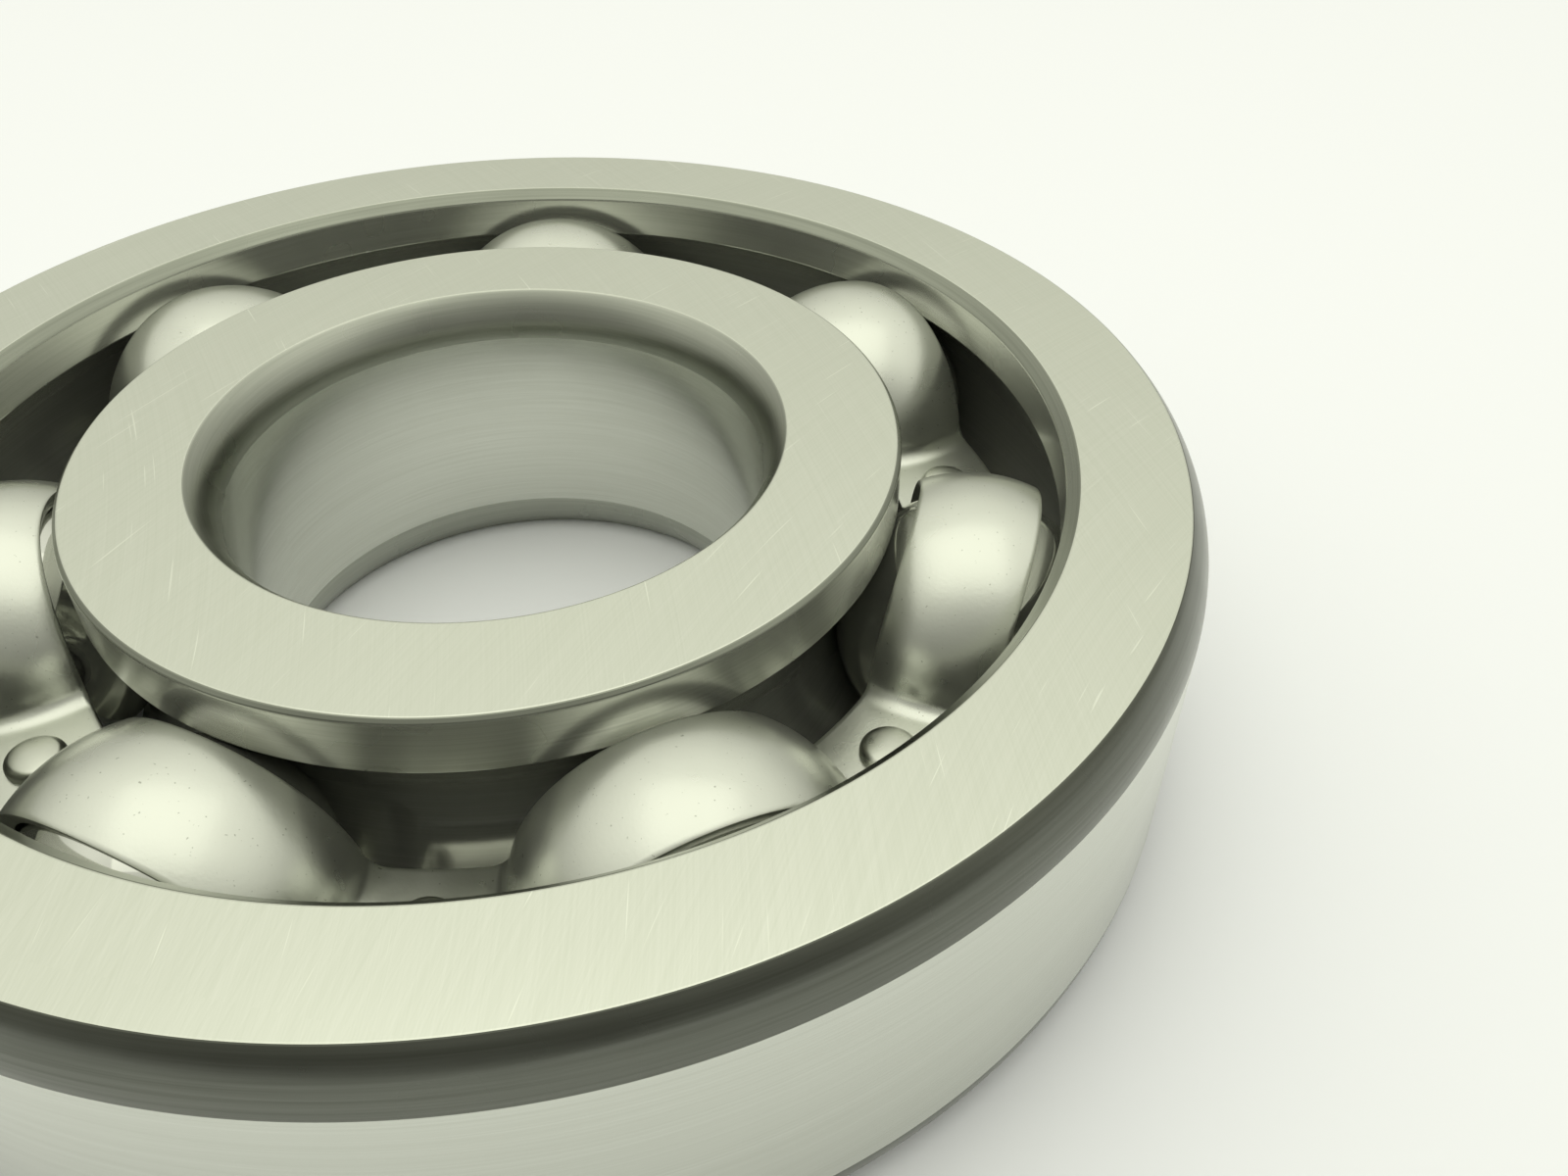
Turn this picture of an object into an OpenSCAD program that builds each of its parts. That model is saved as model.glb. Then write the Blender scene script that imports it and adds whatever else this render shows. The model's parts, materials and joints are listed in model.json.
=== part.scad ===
// Deep groove ball bearing: an outer ring, an inner ring, one row of balls, and a cage
// pressed from two strips of sheet steel that rivets hold together between the balls.
// The origin is the bearing's centre. +Z is the axis that the rings turn about.

/* [Rings] */
// Diameter of the bore, which sits on the shaft
bore_d = 50; // [45:1:60]
// Outside diameter, which sits in the housing
outer_d = 130; // [125:1:160]
// Width across the flat faces, the same on both rings
width = 31; // [29:0.5:40]
// How far the rounded corners of the bore and the outside reach across the ring
corner = 2.1; // [1.2:0.1:2.4]
// How far those corners reach along the ring
corner_len = 4.75; // [2.5:0.05:6]
// How much longer the radius of their arc is than one that would run smoothly into the bore or the outside
corner_ease = 0.6; // [0.2:0.1:2]
// Chamfer where the outer ring's shoulders meet its faces
outer_edge = 1.1; // [0.3:0.1:2]
// Chamfer where the inner ring's shoulders meet its faces
inner_edge = 0.4; // [0.2:0.1:1.5]
// Depth of the ball grooves below the shoulders
shoulder_h = 5; // [3.5:0.1:6]
// Groove radius of the inner ring as a share of the ball diameter
inner_conformity = 0.515; // [0.505:0.005:0.53]
// Groove radius of the outer ring as a share of the ball diameter
outer_conformity = 0.525; // [0.51:0.005:0.54]

/* [Balls] */
// Ball diameter
ball_d = 24.606; // [20:0.001:25.6]
// Number of balls
ball_count = 7; // [4:1:7]
// Gap between a ball and the bottom of each groove
race_gap = 0.05; // [0.02:0.01:0.1]

/* [Cage] */
// Thickness of the sheet that both halves are pressed from
sheet_t = 1.5; // [1:0.1:1.8]
// Gap between each edge of the strip and the ring shoulder beside it
strip_gap = 1.85; // [1:0.05:2.5]
// Gap between the top of a ball and its pocket
pocket_gap = 0.15; // [0.1:0.05:0.3]
// How far a pocket's centre lies below the middle of the bearing, which widens the pocket at its foot
pocket_drop = 0.5; // [0.1:0.05:0.6]
// Radius of the bend from the flat land up into a pocket, on the outside of the sheet
bend_r = 1.8; // [1.5:0.1:2.4]

/* [Rivets] */
// Diameter of the rivet shank
rivet_d = 3; // [2:0.1:3.6]
// Diameter of the formed heads
head_d = 5; // [4.2:0.1:6]
// Height of the formed heads above the sheet
head_h = 1.2; // [0.8:0.1:2]
// How much higher a formed head is in its middle than at its edge
head_crown = 0.35; // [0.1:0.05:0.6]
// Gap between the shank and its hole
hole_gap = 0.05; // [0.02:0.01:0.1]

/* [Hidden] */
$fn = 128;
cut = 1; // how far a cutting shape runs past the surface that it cuts
kink = 0.002; // by how much neighbouring arcs of the sheet's section cross instead of touching

// Rings
pitch_r = (bore_d + outer_d) / 4;
ball_r = ball_d / 2;
inner_groove_r = inner_conformity * ball_d;
outer_groove_r = outer_conformity * ball_d;
inner_floor_r = pitch_r - ball_r - race_gap;
outer_floor_r = pitch_r + ball_r + race_gap;
inner_shoulder_r = inner_floor_r + shoulder_h;
outer_shoulder_r = outer_floor_r - shoulder_h;
corner_chord = sqrt(pow(corner, 2) + pow(corner_len, 2));
corner_arc = pow(corner_chord, 2) / (2 * corner) + corner_ease;
// Distance from the middle of the corner's chord to its arc's centre, and that centre's place inside the ring.
corner_far = sqrt(pow(corner_arc, 2) - pow(corner_chord / 2, 2));
corner_x = corner / 2 + corner_far * corner_len / corner_chord;
corner_z = corner_len / 2 + corner_far * corner / corner_chord;

// Cage
pocket_angle = 360 / ball_count;
pocket_in_r = ball_r + pocket_gap + pocket_drop;
pocket_out_r = pocket_in_r + sheet_t;
strip_in_r = inner_shoulder_r + strip_gap;
strip_out_r = outer_shoulder_r - strip_gap;
bend_z = sheet_t + bend_r;
bend_x = sqrt(pow(pocket_out_r + bend_r - kink, 2) - pow(bend_z + pocket_drop, 2));

// Rivets
crown_r = (pow(head_d / 2, 2) + pow(head_crown, 2)) / (2 * head_crown);

BALLS = [for (i = [1:ball_count]) str("ball_", i)];
RIVETS = [for (i = [1:ball_count]) str("rivet_", i)];

// Section of what is cut off a ring's corner at the origin, where the ring lies towards -X and -Y.
module corner_cut() {
    translate([-corner_x, -corner_z])
        difference() {
            square([corner_x + cut, corner_z + cut]);
            circle(corner_arc);
        }
}

// Section of a 45 degree chamfer at the origin.
module chamfer_cut(size) {
    rotate(45)
        square(size * sqrt(2), center = true);
}

// Section of a ring between two radii, with the rounded corners on the side that seat_sign points to.
module ring_section(in_r, out_r, groove_x, groove_r, seat_sign, edge) {
    seat_x = seat_sign > 0 ? out_r : in_r;
    shoulder_x = seat_sign > 0 ? in_r : out_r;
    difference() {
        translate([in_r, -width / 2])
            square([out_r - in_r, width]);
        translate([groove_x, 0])
            circle(groove_r);
        for (face = [-1, 1]) {
            translate([seat_x, face * width / 2])
                mirror([seat_sign > 0 ? 0 : 1, 0])
                    mirror([0, face > 0 ? 0 : 1])
                        corner_cut();
            translate([shoulder_x, face * width / 2])
                chamfer_cut(edge);
        }
    }
}

module outer_ring() {
    color("silver")
        rotate_extrude()
            ring_section(outer_shoulder_r, outer_d / 2, outer_floor_r - outer_groove_r,
                outer_groove_r, 1, outer_edge);
}

module inner_ring() {
    color("silver")
        rotate_extrude()
            ring_section(bore_d / 2, inner_shoulder_r, inner_floor_r + inner_groove_r,
                inner_groove_r, -1, inner_edge);
}

module at_ball(i) {
    rotate((i - 1) * pocket_angle)
        translate([pitch_r, 0, 0])
            children();
}

module at_rivet(i) {
    rotate((i - 0.5) * pocket_angle)
        translate([pitch_r, 0, 0])
            children();
}

module ball(i) {
    color("gainsboro")
        at_ball(i)
            sphere(ball_r);
}

// Solid of revolution about a pocket's axis: a dome that a flare eases out into the flat land.
module pocket_form(dome_r, flare_r) {
    rotate_extrude()
        intersection() {
            union() {
                translate([0, -pocket_drop])
                    circle(dome_r);
                difference() {
                    polygon([[0, -pocket_drop], [bend_x, bend_z], [bend_x, -cut], [0, -cut]]);
                    translate([bend_x, bend_z])
                        circle(flare_r);
                }
            }
            translate([0, -cut])
                square([bend_x + cut, pocket_out_r + 2 * cut]);
        }
}

// One pressed strip: a flat ring with a dome over each ball, hollowed to the sheet's thickness.
module cage_half() {
    difference() {
        intersection() {
            union() {
                cylinder(h = sheet_t, r = strip_out_r + cut);
                for (i = [1:ball_count])
                    at_ball(i)
                        pocket_form(pocket_out_r, bend_r + kink);
            }
            rotate_extrude()
                translate([strip_in_r, 0])
                    square([strip_out_r - strip_in_r, pocket_out_r + cut]);
        }
        for (i = [1:ball_count]) {
            at_ball(i)
                pocket_form(pocket_in_r, bend_r + sheet_t + kink);
            at_rivet(i)
                translate([0, 0, -cut])
                    cylinder(h = sheet_t + 2 * cut, d = rivet_d + 2 * hole_gap);
        }
    }
}

module cage_upper() {
    color("lightsteelblue")
        cage_half();
}

module cage_lower() {
    color("lightsteelblue")
        mirror([0, 0, 1])
            cage_half();
}

// Section of one formed head, sitting on the sheet: a low disc with a slightly crowned top.
module head_section() {
    intersection() {
        translate([0, sheet_t + head_h - crown_r])
            circle(crown_r);
        translate([0, sheet_t])
            square([head_d / 2, head_h + cut]);
    }
}

module rivet(i) {
    color("lightslategray")
        at_rivet(i)
            rotate_extrude() {
                translate([0, -sheet_t])
                    square([rivet_d / 2, 2 * sheet_t]);
                head_section();
                mirror([0, 1])
                    head_section();
            }
}

outer_ring();
inner_ring();
cage_upper();
cage_lower();
for (i = [1:ball_count]) {
    ball(i);
    rivet(i);
}
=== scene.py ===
# %% [markdown]
# # A deep groove ball bearing
#
# An open ball bearing is eighteen pieces of steel: two rings, seven balls, and a cage made of two
# pressed strips and seven rivets. Each piece gets its shape from how it is really made. The rings are
# turned on a lathe, so a section is spun into a ring. The cage is pressed from strip, so a flat ring
# of faces is pushed up over the balls. Each surface then gets the finish that its last machine left.
#
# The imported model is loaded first. It is the fixed frame that every new piece is measured from.

# %% Load the frame
import json
import math

import bmesh
import bpy
import numpy as np
from mathutils import Matrix, Vector


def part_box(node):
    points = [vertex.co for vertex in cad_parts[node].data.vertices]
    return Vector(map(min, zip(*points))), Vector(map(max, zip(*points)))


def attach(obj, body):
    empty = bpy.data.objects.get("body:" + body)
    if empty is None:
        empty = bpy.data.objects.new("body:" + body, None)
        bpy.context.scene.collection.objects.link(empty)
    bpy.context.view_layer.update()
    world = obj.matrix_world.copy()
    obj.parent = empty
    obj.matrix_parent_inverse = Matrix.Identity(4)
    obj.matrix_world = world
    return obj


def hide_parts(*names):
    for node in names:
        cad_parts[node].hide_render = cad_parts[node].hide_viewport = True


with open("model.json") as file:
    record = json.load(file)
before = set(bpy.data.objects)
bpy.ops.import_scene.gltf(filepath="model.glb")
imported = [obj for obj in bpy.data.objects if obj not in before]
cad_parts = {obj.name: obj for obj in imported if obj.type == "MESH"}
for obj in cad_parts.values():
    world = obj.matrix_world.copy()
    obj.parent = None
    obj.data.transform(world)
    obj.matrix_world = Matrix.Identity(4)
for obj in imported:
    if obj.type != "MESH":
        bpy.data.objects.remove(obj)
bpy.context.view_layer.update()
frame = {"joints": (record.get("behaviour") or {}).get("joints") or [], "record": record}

MM = 0.001

# %% [markdown]
# ## The camera and the view transform
#
# The camera stands close, as one does to look into a bearing, so the near side looms larger than the
# far side and one edge of the ring leaves the view. It is the first thing made, because what it sees
# decides how fine each pattern must be. The plain view transform keeps a white floor white.

# %% The camera
CAMERA_TURN = math.radians(12)
CAMERA_SIDE = 26.86 * MM
CAMERA_BACK = 104.34 * MM
CAMERA_UP = 83.75 * MM
CAMERA_TILT = math.radians(50.02)
CAMERA_LENS = 30.85

camera = bpy.data.objects.new("camera", bpy.data.cameras.new("camera"))
camera.data.lens = CAMERA_LENS
camera.data.clip_start = 1 * MM
camera.location = Matrix.Rotation(CAMERA_TURN, 3, "Z") @ Vector((CAMERA_SIDE, -CAMERA_BACK, CAMERA_UP))
camera.rotation_euler = (CAMERA_TILT, 0, CAMERA_TURN)
bpy.context.scene.collection.objects.link(camera)
bpy.context.scene.camera = camera
bpy.context.scene.view_settings.view_transform = "Standard"

# %% [markdown]
# ## Sizes
#
# The big sizes come from the frame: the two fits from the record's mounts, the balls from their nodes
# and joints. The small ones, such as a groove's radius or a sheet's thickness, are the maker's own
# numbers, the same as those that the frame was built from.

# %% Sizes in millimetres
mounts = {mount["name"]: mount["dims"] for mount in frame["record"]["mounts"]}
OUTER_R = mounts["outside"]["r_mm"]
BORE_R = mounts["bore"]["r_mm"]
HALF_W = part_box("outer_ring")[1].z / MM
CORNER_LEN = HALF_W - mounts["bore"]["length_mm"] / 2
CORNER = 2.1
CORNER_EASE = 0.6
OUTER_EDGE = 1.1
INNER_EDGE = 0.4

ball_joints = [joint for joint in frame["joints"] if joint["name"].startswith("ball_")]
BALL_COUNT = len(ball_joints)
BALL_STEP = math.tau / BALL_COUNT
PITCH_R = ball_joints[0]["pos_m"][0] / MM
BALL_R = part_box("ball_1")[1].z / MM
RACE_GAP = 0.05
SHOULDER = 5.0
INNER_GROOVE_R = 0.515 * 2 * BALL_R
OUTER_GROOVE_R = 0.525 * 2 * BALL_R

SHEET = 1.5
STRIP_GAP = 1.85
POCKET_GAP = 0.15
POCKET_DROP = 0.5
BEND_R = 1.8
RIVET_R = 1.5
HEAD_R = 2.5
HEAD_H = 1.2
HEAD_CROWN = 0.35
print(f"bore {2 * BORE_R:g}, outside {2 * OUTER_R:g}, width {2 * HALF_W:g}, "
      f"{BALL_COUNT} balls of {2 * BALL_R:.3f} mm")

# %% [markdown]
# ## Drawing a section and spinning it
#
# A turned part is a section and an axis. The section is drawn as a chain of edges: a straight run is a
# vertex extruded to a new place, and an arc is that vertex spun about the arc's centre. The whole
# chain is then spun once round the Z axis. A lathe and a grinding wheel never leave a perfectly sharp
# edge, so edges that turn by more than a few degrees get a bevel of about a tenth of a millimetre.

# %% Helpers for sections
EDGE_BREAK = 0.12
SHARP_ANGLE = math.radians(5)
MERGE_DIST = 0.001 * MM


def start_section(x, z):
    """A new bmesh and the first vertex of a section in the XZ plane."""
    section = bmesh.new()
    return section, section.verts.new((x * MM, 0, z * MM))


def line_to(section, tip, x, z):
    """Extrudes the chain's last vertex to a new place."""
    new_tip = bmesh.ops.extrude_vert_indiv(section, verts=[tip])["verts"][0]
    new_tip.co = (x * MM, 0, z * MM)
    return new_tip


def arc_to(section, tip, x, z, turn, steps):
    """Spins the chain's last vertex about (x, z). A positive turn goes from +Z towards +X."""
    spun = bmesh.ops.spin(section, geom=[tip], cent=(x * MM, 0, z * MM), axis=(0, 1, 0),
                          angle=turn, steps=steps)
    return [item for item in spun["geom_last"] if isinstance(item, bmesh.types.BMVert)][0]


def spin_section(section, steps):
    """Closes the chain where its ends meet and turns it once round Z."""
    bmesh.ops.remove_doubles(section, verts=section.verts, dist=MERGE_DIST)
    geometry = section.verts[:] + section.edges[:]
    bmesh.ops.spin(section, geom=geometry, cent=(0, 0, 0), axis=(0, 0, 1), angle=math.tau,
                   steps=steps, use_merge=True)
    bmesh.ops.remove_doubles(section, verts=section.verts, dist=MERGE_DIST)
    bmesh.ops.recalc_face_normals(section, faces=section.faces)


def break_edges(shape):
    """Bevels every edge that turns by more than a few degrees."""
    sharp = [edge for edge in shape.edges if edge.is_manifold and edge.calc_face_angle() > SHARP_ANGLE]
    bmesh.ops.bevel(shape, geom=sharp, offset=EDGE_BREAK * MM, offset_type="OFFSET", affect="EDGES",
                    segments=2, profile=0.5, material=-1, clamp_overlap=True)


# %% Helper that makes a bmesh a finished piece
def finish_piece(shape, name, body, node, materials, sharp_angle=SHARP_ANGLE):
    """Turns a bmesh into an object that rides on a body and stands for a node of the frame."""
    mesh = bpy.data.meshes.new(name)
    shape.to_mesh(mesh)
    shape.free()
    for material in materials:
        mesh.materials.append(material)
    mesh.shade_smooth()
    mesh.set_sharp_from_angle(angle=sharp_angle)
    piece = bpy.data.objects.new(name, mesh)
    bpy.context.scene.collection.objects.link(piece)
    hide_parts(node)
    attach(piece, body)
    print(name, "has", sum(len(face.vertices) - 2 for face in mesh.polygons), "triangles")
    return piece


# %% [markdown]
# ## Colours and nodes
#
# A colour is written as it looks on a screen, in hex, and one function turns it into the linear value
# that the renderer works in. Another adds a node with its settings and links in one call, so that a
# material reads as a short list of steps.

# %% Colour and node helpers
def colour(hex_code):
    """A linear RGBA colour from an sRGB hex code."""
    channels = [int(hex_code[i:i + 2], 16) / 255 for i in (1, 3, 5)]
    return [c / 12.92 if c <= 0.04045 else ((c + 0.055) / 1.055) ** 2.4 for c in channels] + [1]


def add(tree, kind, inputs=None, **settings):
    """Adds a node. A socket given as an input is linked, and any other value is set."""
    node = tree.nodes.new(kind)
    for name, value in settings.items():
        setattr(node, name, value)
    for socket, value in (inputs or {}).items():
        if isinstance(value, bpy.types.NodeSocket):
            tree.links.new(value, node.inputs[socket])
        else:
            node.inputs[socket].default_value = value
    return node


def new_metal(name, roughness, oil=0.3, metallic=1.0):
    """A metal under a thin film of preservative oil. Returns the material, its tree and its shader."""
    material = bpy.data.materials.new(name)
    material.use_nodes = True
    tree = material.node_tree
    shader = tree.nodes["Principled BSDF"]
    shader.inputs["Metallic"].default_value = metallic
    shader.inputs["Roughness"].default_value = roughness
    shader.inputs["Coat Weight"].default_value = oil
    shader.inputs["Coat Roughness"].default_value = 0.12
    shader.inputs["Coat Tint"].default_value = colour("#f7f8ec")
    return material, tree, shader


# %% [markdown]
# ## Marks that machines leave
#
# Every finish here is a family of scratches, and they differ only in the path that the grit took. A
# face grinding wheel is much wider than the ring, so its scratches are long shallow arcs about a
# far-off centre. A lathe or a wheel that follows the turning ring leaves rings about the ring's own
# axis. Both are one noise, stretched along the path and squeezed across it, so the noise is fed with
# the distance from the centre and the angle round it instead of with X, Y and Z.

# %% Scratch patterns
def round_axis(tree, x=0.0, y=0.0):
    """Distance in mm and angle of each point about an upright axis at (x, y) mm, and its height in mm."""
    place = add(tree, "ShaderNodeTexCoord").outputs["Object"]
    in_mm = add(tree, "ShaderNodeVectorMath", {0: place, 3: 1 / MM}, operation="SCALE").outputs[0]
    shifted = add(tree, "ShaderNodeVectorMath", {0: in_mm, 1: (x, y, 0)}, operation="SUBTRACT").outputs[0]
    flat = add(tree, "ShaderNodeVectorMath", {0: shifted, 1: (1, 1, 0)}, operation="MULTIPLY").outputs[0]
    distance = add(tree, "ShaderNodeVectorMath", {0: flat}, operation="LENGTH").outputs["Value"]
    parts = add(tree, "ShaderNodeSeparateXYZ", {0: shifted}).outputs
    angle = add(tree, "ShaderNodeMath", {0: parts["Y"], 1: parts["X"]}, operation="ARCTAN2").outputs[0]
    return distance, angle, parts["Z"]


def scratches(tree, across, angle, spacing, reach, radius, seed, detail=3.0):
    """Noise squeezed to spacing mm across the path and stretched to reach mm along it, at that radius."""
    fine = add(tree, "ShaderNodeMath", {0: across, 1: 1 / spacing}, operation="MULTIPLY").outputs[0]
    long = add(tree, "ShaderNodeMath", {0: angle, 1: radius / reach}, operation="MULTIPLY").outputs[0]
    path = add(tree, "ShaderNodeCombineXYZ", {0: fine, 1: long, 2: seed}).outputs[0]
    noise = {"Vector": path, "Scale": 1, "Detail": detail, "Roughness": 0.6}
    return add(tree, "ShaderNodeTexNoise", noise).outputs[0]


def blotches(tree, size, seed, detail=2.0):
    """Soft patches of that size in mm."""
    place = add(tree, "ShaderNodeTexCoord").outputs["Object"]
    moved = add(tree, "ShaderNodeMapping", {"Vector": place, "Location": (seed, seed / 2, 0)}).outputs[0]
    noise = {"Vector": moved, "Scale": 1 / (size * MM), "Detail": detail, "Roughness": 0.55}
    return add(tree, "ShaderNodeTexNoise", noise).outputs[0]


def rare_peaks(tree, pattern, above):
    """Keeps only a noise's rare peaks: 0 below that level and 1 a little above it."""
    edge = {"Value": pattern, "From Min": above, "From Max": above + 0.06}
    return add(tree, "ShaderNodeMapRange", edge).outputs[0]


# %% [markdown]
# A pattern can show in three ways: as a change of roughness, of colour or of height. Noise mostly lies
# between 0.3 and 0.7, so that is the range that the roughness follows.

# %% What a pattern does to a surface
NOISE_LOW = 0.3
NOISE_HIGH = 0.7


def vary_roughness(tree, shader, pattern, low, high):
    """Lets the roughness follow a pattern, from low to high."""
    limits = {"From Min": NOISE_LOW, "From Max": NOISE_HIGH, "To Min": low, "To Max": high}
    follow = add(tree, "ShaderNodeMapRange", {"Value": pattern, **limits})
    tree.links.new(follow.outputs[0], shader.inputs["Roughness"])


def vary_colour(tree, shader, pattern, first, second):
    """Lets the colour follow a pattern, from the first, a hex code or an earlier result, to the second."""
    under = first if isinstance(first, bpy.types.NodeSocket) else colour(first)
    inputs = {0: pattern, 6: under, 7: colour(second)}
    mixed = add(tree, "ShaderNodeMix", inputs, data_type="RGBA").outputs[2]
    tree.links.new(mixed, shader.inputs["Base Color"])
    return mixed


def emboss(tree, shader, pattern, depth):
    """Lets the surface rise with a pattern, by up to depth mm."""
    raised = add(tree, "ShaderNodeBump", {"Height": pattern, "Distance": depth * MM, "Strength": 1.0})
    tree.links.new(raised.outputs[0], shader.inputs["Normal"])


# %% [markdown]
# ## Ring steel
#
# The rings are through-hardened bearing steel. Their side faces are ground flat between two wheels,
# which leaves fine crossing arcs and a silvery, slightly milky sheen. Handling adds a few short
# brighter scratches. They are the same kind of noise with everything but its peaks left out.

# %% Ground side faces
WHEELS = [(-150, -95, 3.1), (170, -60, 7.7)]
WHEEL_R = 160


def ground_face():
    """Double-disc ground bearing steel: crossing arcs, drawn 0.16 mm apart so that they show."""
    material, tree, shader = new_metal("ground_bearing_steel_face", 0.34)
    families = []
    knocks = []
    for x, y, seed in WHEELS:
        distance, angle, _ = round_axis(tree, x, y)
        families.append(scratches(tree, distance, angle, 0.16, 30, WHEEL_R, seed))
        knock = scratches(tree, distance, angle, 0.2, 9, WHEEL_R, seed + 20, detail=0.0)
        knocks.append(rare_peaks(tree, knock, 0.80))
    marks = add(tree, "ShaderNodeMath", {0: families[0], 1: families[1]}, operation="ADD").outputs[0]
    knocked = add(tree, "ShaderNodeMath", {0: knocks[0], 1: knocks[1]}, operation="ADD").outputs[0]
    sum_of_two = {"From Min": 2 * NOISE_LOW, "From Max": 2 * NOISE_HIGH}
    tone = add(tree, "ShaderNodeMapRange", {"Value": marks, **sum_of_two}).outputs[0]
    vary_roughness(tree, shader, blotches(tree, 16, 4.0), 0.30, 0.38)
    ground = vary_colour(tree, shader, tone, "#c3c6bd", "#cdcfc8")
    vary_colour(tree, shader, knocked, ground, "#d9dbd4")
    emboss(tree, shader, marks, 0.0007)
    return material


# %% [markdown]
# The bore and the outside are ground while the ring turns, so their marks run round the ring. The
# shoulders are ground the same way but coarser. The corners and chamfers are the same steel with the
# same uneven marks, and with painted shade in their colour: the chamfers and the bore's corners are
# painted darker than the faces, and the outside's corners much darker, for the dark camera side that
# they face. The grooves are honed almost to a mirror.

# %% Ground and turned surfaces round the axis
def round_ground(name, base, tint, roughness, spacing, depth, metallic=1.0):
    """Steel ground or turned round its own axis: satin, with fine rings of marks.

    Across the marks it counts the height and a third of the distance, so that a cylinder, a chamfer
    and a rounded corner all get rings.
    """
    material, tree, shader = new_metal(name, roughness, metallic=metallic)
    distance, angle, height = round_axis(tree)
    third = {0: distance, 1: 1 / 3, 2: height}
    across = add(tree, "ShaderNodeMath", third, operation="MULTIPLY_ADD").outputs[0]
    marks = scratches(tree, across, angle, spacing, 30, PITCH_R, 1.3)
    usual = {"From Min": NOISE_LOW, "From Max": NOISE_HIGH}
    tone = add(tree, "ShaderNodeMapRange", {"Value": marks, **usual}).outputs[0]
    vary_colour(tree, shader, tone, base, tint)
    vary_roughness(tree, shader, blotches(tree, 9, 1.0), roughness * 0.85, roughness * 1.15)
    emboss(tree, shader, marks, depth)
    return material


# %% Ring finishes
FACE, SEAT, ROUND_CORNER, CHAMFER, SHOULDER_LAND, RACE = range(6)

# Each has its two tones, its roughness, and the spacing and the depth of its marks in mm. The shoulders
# and grooves are less than fully metallic, so that they keep some tone where they face a dark gap.
shared_finishes = [
    # Painted shade: the chamfer's colour is darker than the faces', so that it reads as a darker band.
    round_ground("steel_chamfer_painted_shade", "#84877e", "#94978e", 0.30, 0.24, 0.0012),
    round_ground("ground_steel_shoulder", "#bcbeb7", "#cccec8", 0.26, 0.24, 0.0012, 0.75),
    round_ground("honed_steel_raceway", "#bfc1ba", "#cbccc7", 0.12, 0.16, 0.0004, 0.65),
]
face_finish = ground_face()
seat_finish = round_ground("ground_bearing_steel_seat", "#cbcdc6", "#d5d7d1", 0.20, 0.20, 0.0010)
# Painted shade: the outside's corners are coloured much darker than the seat, for the dark camera side that
# they reflect.
outer_corner_painted_shade = round_ground("steel_corner_outer_painted_shade", "#5c5e57", "#6e706a", 0.30, 0.30, 0.0010)
# Painted shade: the bore's corners are coloured darker than the bore, so that a crisp line shows where the
# wall starts.
bore_corner_painted_shade = round_ground("steel_corner_bore_painted_shade", "#a2a59d", "#b0b2ab", 0.30, 0.24, 0.0010)
outer_ring_finishes = [face_finish, seat_finish, outer_corner_painted_shade] + shared_finishes
inner_ring_finishes = [face_finish, seat_finish, bore_corner_painted_shade] + shared_finishes

# %% [markdown]
# ## The two rings
#
# Both rings share one section: a seat with two rounded corners on one side, and on the other side a
# shoulder, the ball groove and a second shoulder. The corners help the bearing slide onto its shaft,
# so they are long: they reach more than twice as far along the ring as across it. Their arc leaves
# the face at a crisp edge and runs almost smoothly into the seat.

# %% Ring sections
RING_STEPS = 360
CORNER_STEPS = 20
GROOVE_STEPS = 40
CORNER_CHORD = math.hypot(CORNER, CORNER_LEN)
CORNER_ARC = CORNER_CHORD ** 2 / (2 * CORNER) + CORNER_EASE
CORNER_TURN = 2 * math.asin(CORNER_CHORD / 2 / CORNER_ARC)
chord_to_centre = math.sqrt(CORNER_ARC ** 2 - CORNER_CHORD ** 2 / 4)
CORNER_X = CORNER / 2 + chord_to_centre * CORNER_LEN / CORNER_CHORD
CORNER_Z = CORNER_LEN / 2 + chord_to_centre * CORNER / CORNER_CHORD
print(f"the corners are arcs of {CORNER_ARC:.2f} mm over {math.degrees(CORNER_TURN):.0f} degrees")


def ring_shape(seat_r, shoulder_r, floor_r, groove_r, edge):
    """A ring whose seat is at seat_r and whose ball groove is cut into its shoulders."""
    side = 1 if seat_r > shoulder_r else -1
    groove_x = floor_r - side * groove_r
    groove_z = math.sqrt(groove_r ** 2 - (shoulder_r - groove_x) ** 2)
    corner_x = seat_r - side * CORNER_X
    corner_z = HALF_W - CORNER_Z
    section, tip = start_section(shoulder_r, groove_z)
    tip = line_to(section, tip, shoulder_r, HALF_W - edge)
    tip = line_to(section, tip, shoulder_r + side * edge, HALF_W)
    tip = line_to(section, tip, seat_r - side * CORNER, HALF_W)
    tip = arc_to(section, tip, corner_x, corner_z, side * CORNER_TURN, CORNER_STEPS)
    tip = line_to(section, tip, seat_r, CORNER_LEN - HALF_W)
    tip = arc_to(section, tip, corner_x, -corner_z, side * CORNER_TURN, CORNER_STEPS)
    tip = line_to(section, tip, shoulder_r + side * edge, -HALF_W)
    tip = line_to(section, tip, shoulder_r, edge - HALF_W)
    tip = line_to(section, tip, shoulder_r, -groove_z)
    arc_to(section, tip, groove_x, 0, -side * 2 * math.asin(groove_z / groove_r), GROOVE_STEPS)
    spin_section(section, RING_STEPS)
    for face in section.faces:
        middle = face.calc_center_median() / MM
        r, z = math.hypot(middle.x, middle.y), abs(middle.z)
        if z > HALF_W - 0.01:
            face.material_index = FACE
        elif side * (seat_r - r) < CORNER and z > HALF_W - CORNER_LEN:
            face.material_index = ROUND_CORNER
        elif side * (seat_r - r) < CORNER / 2:
            face.material_index = SEAT
        elif z > HALF_W - edge:
            face.material_index = CHAMFER
        elif z > groove_z:
            face.material_index = SHOULDER_LAND
        else:
            face.material_index = RACE
    break_edges(section)
    return section


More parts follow.
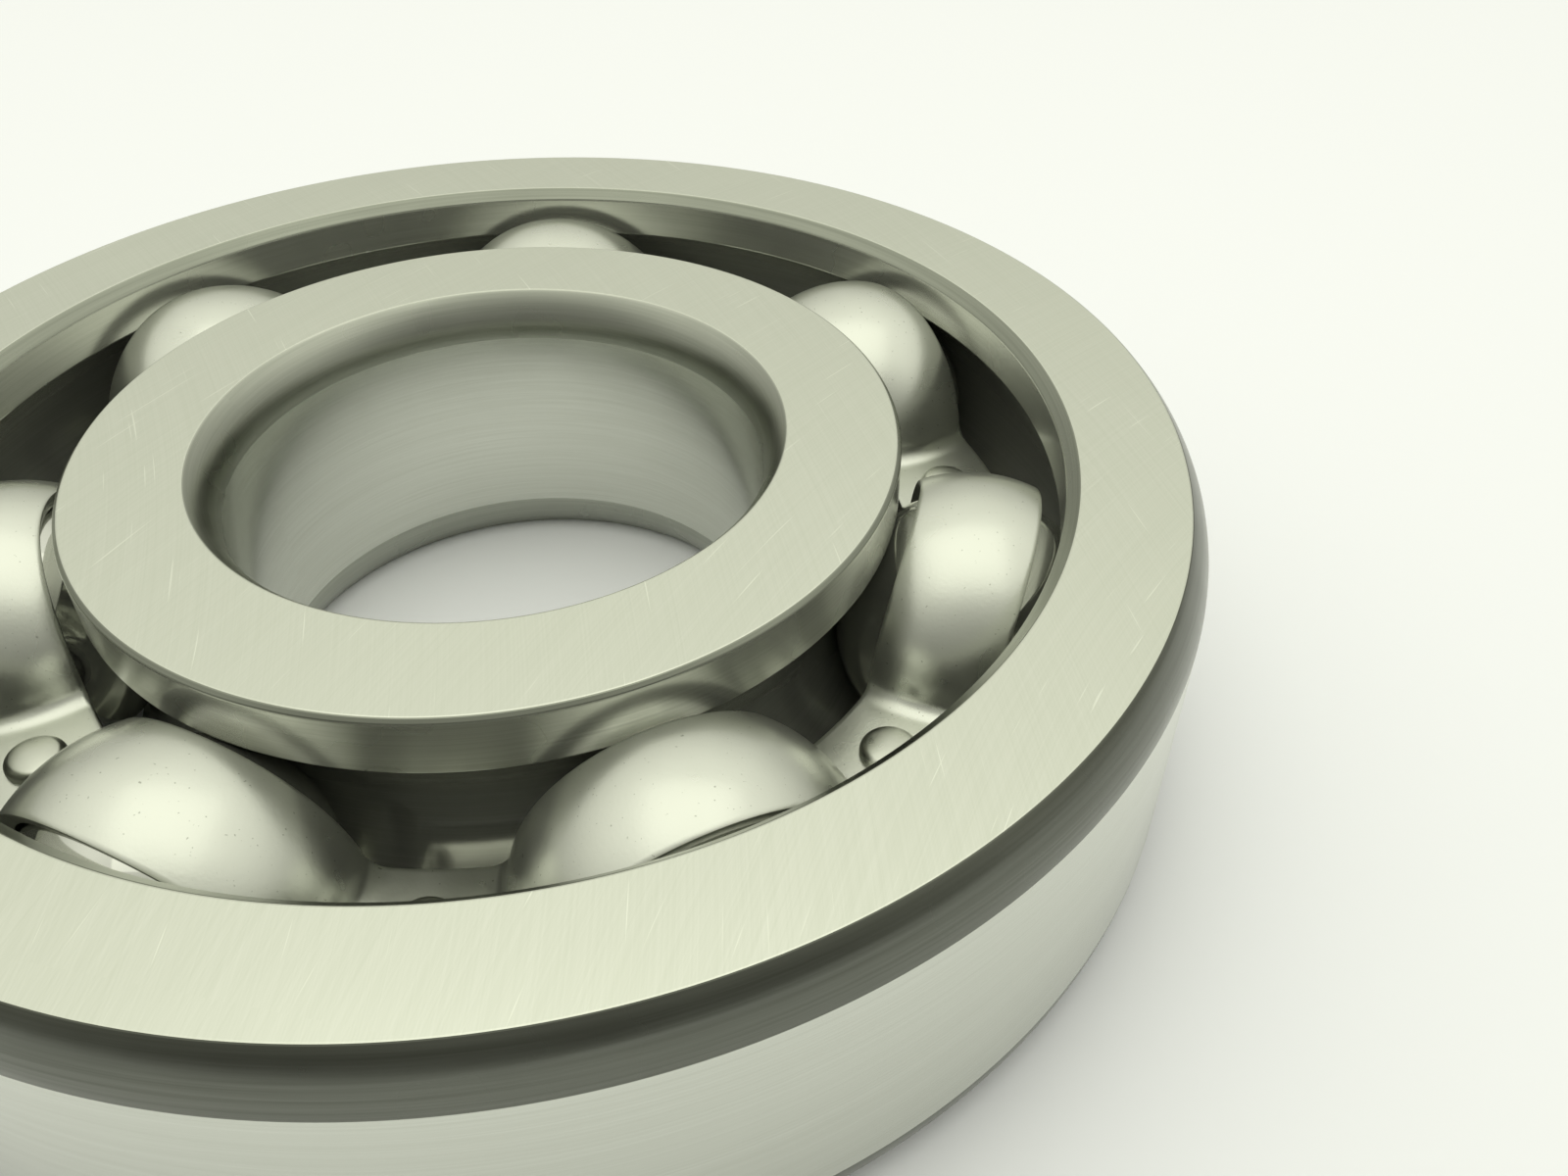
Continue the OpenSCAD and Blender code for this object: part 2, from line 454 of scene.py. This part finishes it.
# %% Make the rings
outer_floor = PITCH_R + BALL_R + RACE_GAP
inner_floor = PITCH_R - BALL_R - RACE_GAP
outer_shape = ring_shape(OUTER_R, outer_floor - SHOULDER, outer_floor, OUTER_GROOVE_R, OUTER_EDGE)
inner_shape = ring_shape(BORE_R, inner_floor + SHOULDER, inner_floor, INNER_GROOVE_R, INNER_EDGE)
finish_piece(outer_shape, "ring_outer_hardened", "outer_ring", "outer_ring",
             outer_ring_finishes)
finish_piece(inner_shape, "ring_inner_hardened", "inner_ring", "inner_ring",
             inner_ring_finishes)

# %% [markdown]
# ## The balls
#
# A bearing ball is the one thing that really is a plain sphere: it is lapped between grooved plates
# until it is round to a fraction of a micrometre. A sphere of even triangles has no poles for a
# reflection to pinch at.

# %% Lapped balls
BALL_SUBDIVISIONS = 6


def lapped_steel():
    """Lapped ball steel: nearly a mirror, with the faintest haze."""
    material, tree, shader = new_metal("lapped_ball_steel", 0.06, oil=0.2, metallic=0.9)
    haze = blotches(tree, 3, 2.0)
    vary_roughness(tree, shader, haze, 0.04, 0.09)
    vary_colour(tree, shader, haze, "#c4c5c1", "#cfd0cc")
    return material


lapped = lapped_steel()
for number, joint in enumerate(ball_joints, 1):
    sphere = bmesh.new()
    centre = Matrix.Translation(Vector(joint["pos_m"]))
    bmesh.ops.create_icosphere(sphere, subdivisions=BALL_SUBDIVISIONS, radius=BALL_R * MM, matrix=centre)
    finish_piece(sphere, f"ball_lapped_{number}", f"ball_{number}", f"ball_{number}", [lapped])

# %% [markdown]
# ## The cage
#
# Each half of the cage starts as a flat ring of strip steel, and a press pushes a dome into it over
# every ball. The same is done here: a line across the strip is spun into a flat ring, and each vertex
# is lifted to the height of the form under it. The dome is part of a ball-shaped shell, and a small
# arc eases it out into the flat land where the rivet sits. The faces are spread evenly along the
# finished curve, because a flat ring's even steps would be stretched on the steep sides.

# %% Press form
STRIP_IN_R = inner_floor + SHOULDER + STRIP_GAP
STRIP_OUT_R = outer_floor - SHOULDER - STRIP_GAP
STRIP_CUTS = 23
STEPS_PER_POCKET = 180
FORM_SAMPLES = 8001
DOME_R = BALL_R + POCKET_GAP + POCKET_DROP + SHEET
BEND_Z = SHEET + BEND_R
BEND_X = math.sqrt((DOME_R + BEND_R) ** 2 - (BEND_Z + POCKET_DROP) ** 2)
DOME_REACH = DOME_R * BEND_X / (DOME_R + BEND_R)


def form_height(reach):
    """Height in mm of the press form at that distance in mm from a ball's axis."""
    dome = np.sqrt(np.maximum(DOME_R ** 2 - reach ** 2, 0)) - POCKET_DROP
    bend = BEND_Z - np.sqrt(np.maximum(BEND_R ** 2 - (BEND_X - reach) ** 2, 0))
    return np.where(reach < DOME_REACH, dome, np.where(reach < BEND_X, bend, SHEET))


def pressed_angles():
    """Angles across one pocket, land to land, that divide the curved strip into even steps."""
    angles = np.linspace(-BALL_STEP / 2, BALL_STEP / 2, FORM_SAMPLES)
    reach = 2 * PITCH_R * np.abs(np.sin(angles / 2))
    steps = np.hypot(np.diff(PITCH_R * angles), np.diff(form_height(reach)))
    length = np.concatenate([[0], np.cumsum(steps)])
    return np.interp(np.linspace(0, length[-1], STEPS_PER_POCKET + 1), length, angles)


# %% [markdown]
# One pocket is pressed and then repeated round the ring, seven times in all, and joined where the
# lands meet. The pressed surface is thickened inwards to the strip's thickness. Its edges were sheared
# by the blanking die, so they get a material of their own and a small rounding.

# %% Press one half
CAGE_SHEET, CAGE_EDGE = range(2)
SHEAR_ROUND = 0.2
SHEARED_ANGLE = math.radians(60)


def press_pocket():
    """The upper surface of the strip from one land's middle to the next, over the first ball."""
    strip = bmesh.new()
    ends = [strip.verts.new((r * MM, 0, 0)) for r in (STRIP_IN_R, STRIP_OUT_R)]
    line = strip.edges.new(ends)
    bmesh.ops.subdivide_edges(strip, edges=[line], cuts=STRIP_CUTS)
    bmesh.ops.rotate(strip, verts=strip.verts, matrix=Matrix.Rotation(-BALL_STEP / 2, 3, "Z"))
    geometry = strip.verts[:] + strip.edges[:]
    bmesh.ops.spin(strip, geom=geometry, cent=(0, 0, 0), axis=(0, 0, 1), angle=BALL_STEP,
                   steps=STEPS_PER_POCKET)
    turns = pressed_angles()
    for vert in strip.verts:
        r, angle = math.hypot(vert.co.x, vert.co.y) / MM, math.atan2(vert.co.y, vert.co.x)
        turn = turns[round((angle / BALL_STEP + 0.5) * STEPS_PER_POCKET)]
        x, y = r * math.cos(turn), r * math.sin(turn)
        vert.co = Vector((x, y, form_height(math.hypot(x - PITCH_R, y)))) * MM
    return strip


def press_half():
    """The upper half of the cage, with a rounding on its sheared edges."""
    half = press_pocket()
    pocket = half.verts[:] + half.edges[:] + half.faces[:]
    bmesh.ops.spin(half, geom=pocket, cent=(0, 0, 0), axis=(0, 0, 1), angle=math.tau - BALL_STEP,
                   steps=BALL_COUNT - 1, use_duplicate=True)
    bmesh.ops.remove_doubles(half, verts=half.verts, dist=MERGE_DIST)
    bmesh.ops.recalc_face_normals(half, faces=half.faces)
    if half.faces[0].normal.z < 0:
        bmesh.ops.reverse_faces(half, faces=half.faces)
    bmesh.ops.solidify(half, geom=half.faces, thickness=SHEET * MM)
    sheared = {edge for edge in half.edges if edge.calc_face_angle() > SHEARED_ANGLE}
    for face in half.faces:
        face.material_index = CAGE_EDGE if sum(edge in sheared for edge in face.edges) == 2 else CAGE_SHEET
    bmesh.ops.bevel(half, geom=list(sheared), offset=SHEAR_ROUND * MM, offset_type="OFFSET", affect="EDGES",
                    segments=2, profile=0.5, material=-1, clamp_overlap=True)
    return half


def turn_over(half):
    """A copy of a half, mirrored to the lower side."""
    lower = half.copy()
    bmesh.ops.scale(lower, vec=(1, 1, -1), verts=lower.verts)
    bmesh.ops.reverse_faces(lower, faces=lower.faces)
    return lower


# %% [markdown]
# Cold-rolled strip is smooth and satin. Pressing it over a dome roughens it very slightly, like fine
# orange peel, opens a few tiny pits, and the die polishes it in patches. A sheared edge is rougher,
# with marks that run across the sheet's thickness.

# %% Cage finishes
def pressed_strip():
    """Cold-rolled strip after pressing: satin, with fine peel, tiny pits and soft polished patches."""
    material, tree, shader = new_metal("pressed_cold_rolled_strip", 0.32, metallic=0.9)
    peel = blotches(tree, 0.35, 5.0, detail=3.0)
    patches = blotches(tree, 7, 3.0)
    pits = rare_peaks(tree, blotches(tree, 0.25, 9.0, detail=0.0), 0.80)
    vary_roughness(tree, shader, patches, 0.25, 0.34)
    smooth = vary_colour(tree, shader, patches, "#c2c4be", "#d4d6d1")
    vary_colour(tree, shader, pits, smooth, "#a0a29b")
    emboss(tree, shader, peel, 0.009)
    return material


def sheared_edge():
    """The blanked edge of the strip: duller, and marked every 0.012 radians, about half a millimetre."""
    material, tree, shader = new_metal("sheared_strip_edge", 0.4)
    _, angle, height = round_axis(tree)
    marks = scratches(tree, angle, height, 0.012, 3, 1, 2.0)
    vary_colour(tree, shader, marks, "#a3a59e", "#c5c7c0")
    emboss(tree, shader, marks, 0.004)
    return material


SOFT_ANGLE = math.radians(30)

cage_finishes = [pressed_strip(), sheared_edge()]
upper_half = press_half()
lower_half = turn_over(upper_half)
finish_piece(upper_half, "cage_half_upper", "cage", "cage_upper", cage_finishes, SOFT_ANGLE)
finish_piece(lower_half, "cage_half_lower", "cage", "cage_lower", cage_finishes, SOFT_ANGLE)

# %% [markdown]
# ## The rivets
#
# A rivet is a soft steel pin whose ends are squeezed into low round heads by a cupped tool. Its
# section is spun into a solid: a wide crown, a tight rim that runs into it smoothly, and the shank. A
# loop moves a copy of it out to each land.

# %% Rivets
def headed_steel():
    """Cold-headed mild steel: satin and faintly dimpled, as the cupped tool leaves it."""
    material, tree, shader = new_metal("cold_headed_rivet_steel", 0.3)
    patches = blotches(tree, 1.2, 6.0)
    vary_roughness(tree, shader, patches, 0.26, 0.38)
    vary_colour(tree, shader, patches, "#b4b6af", "#c8cac3")
    emboss(tree, shader, patches, 0.01)
    return material


CROWN_R = (HEAD_R ** 2 + HEAD_CROWN ** 2) / (2 * HEAD_CROWN)
CROWN_Z = SHEET + HEAD_H - CROWN_R
RIM_R = 0.8
RIM_X = HEAD_R - RIM_R
RIM_Z = CROWN_Z + math.sqrt((CROWN_R - RIM_R) ** 2 - RIM_X ** 2)
CROWN_TURN = math.asin(RIM_X / (CROWN_R - RIM_R))
RIM_TURN = math.pi / 2 - CROWN_TURN
CROWN_STEPS = 5
RIM_STEPS = 8
RIVET_STEPS = 64


def rivet_shape(number):
    """A rivet between ball number and the next."""
    section, tip = start_section(0, SHEET + HEAD_H)
    tip = arc_to(section, tip, 0, CROWN_Z, CROWN_TURN, CROWN_STEPS)
    tip = arc_to(section, tip, RIM_X, RIM_Z, RIM_TURN, RIM_STEPS)
    tip = line_to(section, tip, HEAD_R, SHEET)
    tip = line_to(section, tip, RIVET_R, SHEET)
    tip = line_to(section, tip, RIVET_R, -SHEET)
    tip = line_to(section, tip, HEAD_R, -SHEET)
    tip = line_to(section, tip, HEAD_R, -RIM_Z)
    tip = arc_to(section, tip, RIM_X, -RIM_Z, RIM_TURN, RIM_STEPS)
    arc_to(section, tip, 0, -CROWN_Z, CROWN_TURN, CROWN_STEPS)
    spin_section(section, RIVET_STEPS)
    bmesh.ops.translate(section, vec=(PITCH_R * MM, 0, 0), verts=section.verts)
    to_land = Matrix.Rotation((number - 0.5) * BALL_STEP, 3, "Z")
    bmesh.ops.rotate(section, matrix=to_land, verts=section.verts)
    return section


rivet_steel = headed_steel()
for number in range(1, BALL_COUNT + 1):
    finish_piece(rivet_shape(number), f"rivet_headed_{number}", "cage", f"rivet_{number}",
                 [rivet_steel], SOFT_ANGLE)

# %% [markdown]
# ## The floor and the light
#
# Bright metal shows what is around it, so the room matters as much as the lamp. A wide soft light
# hangs overhead, and the room is bright on the far side and much darker on the camera's side. That is
# what makes the flat faces glow, and together with painted shade in the colour of the outside's
# corners it keeps the long corner, which faces the camera, dark.

# %% Floor
FLOOR_SIZE = 6.0


def paper():
    """Matt paper of a cool white, which comes out plain white under the faintly warm light."""
    material = bpy.data.materials.new("white_paper")
    material.use_nodes = True
    tree = material.node_tree
    shader = tree.nodes["Principled BSDF"]
    shader.inputs["Roughness"].default_value = 0.9
    shader.inputs["Base Color"].default_value = colour("#f7f8fe")
    return material


floor_shape = bmesh.new()
bmesh.ops.create_grid(floor_shape, x_segments=1, y_segments=1, size=FLOOR_SIZE / 2,
                      matrix=Matrix.Translation((0, 0, -HALF_W * MM)))
floor_mesh = bpy.data.meshes.new("floor")
floor_shape.to_mesh(floor_mesh)
floor_shape.free()
floor_mesh.materials.append(paper())
floor = bpy.data.objects.new("floor", floor_mesh)
bpy.context.scene.collection.objects.link(floor)

# %% Overhead softbox
LIGHT_COLOUR = "#fafbec"
SOFTBOX_UP = 0.55
SOFTBOX_SIDE = 0.55
SOFTBOX_POWER = 0.45

lamp = bpy.data.objects.new("softbox", bpy.data.lights.new("softbox", "AREA"))
lamp.data.shape = "SQUARE"
lamp.data.size = SOFTBOX_SIDE
lamp.data.energy = SOFTBOX_POWER
lamp.data.color = colour(LIGHT_COLOUR)[:3]
lamp.location = (0, 0, SOFTBOX_UP)
lamp.rotation_euler = (0, 0, CAMERA_TURN)
bpy.context.scene.collection.objects.link(lamp)

# %% Room
AWAY = Matrix.Rotation(CAMERA_TURN, 3, "Z") @ Vector((0, 1, 0))

# Strength grows with the height of a direction, and shrinks by a factor on the camera's side.
UP_THE_WALLS = {"From Min": 0.0, "From Max": 0.85, "To Min": 0.53, "To Max": 1.28}
NEAR_TO_FAR = {"From Min": -0.85, "From Max": -0.05, "To Min": 0.38, "To Max": 1.0}

world = bpy.data.worlds.new("room")
bpy.context.scene.world = world
world.use_nodes = True
room = world.node_tree
direction = add(room, "ShaderNodeTexCoord").outputs["Generated"]
height = add(room, "ShaderNodeSeparateXYZ", {0: direction}).outputs[2]
away = add(room, "ShaderNodeVectorMath", {0: direction, 1: AWAY}, operation="DOT_PRODUCT").outputs["Value"]
walls, near_side = [
    add(room, "ShaderNodeMapRange", {"Value": value, **limits}, interpolation_type="SMOOTHSTEP").outputs[0]
    for value, limits in ((height, UP_THE_WALLS), (away, NEAR_TO_FAR))
]
strength = add(room, "ShaderNodeMath", {0: walls, 1: near_side}, operation="MULTIPLY").outputs[0]
background = room.nodes["Background"]
background.inputs["Color"].default_value = colour(LIGHT_COLOUR)
room.links.new(strength, background.inputs["Strength"])
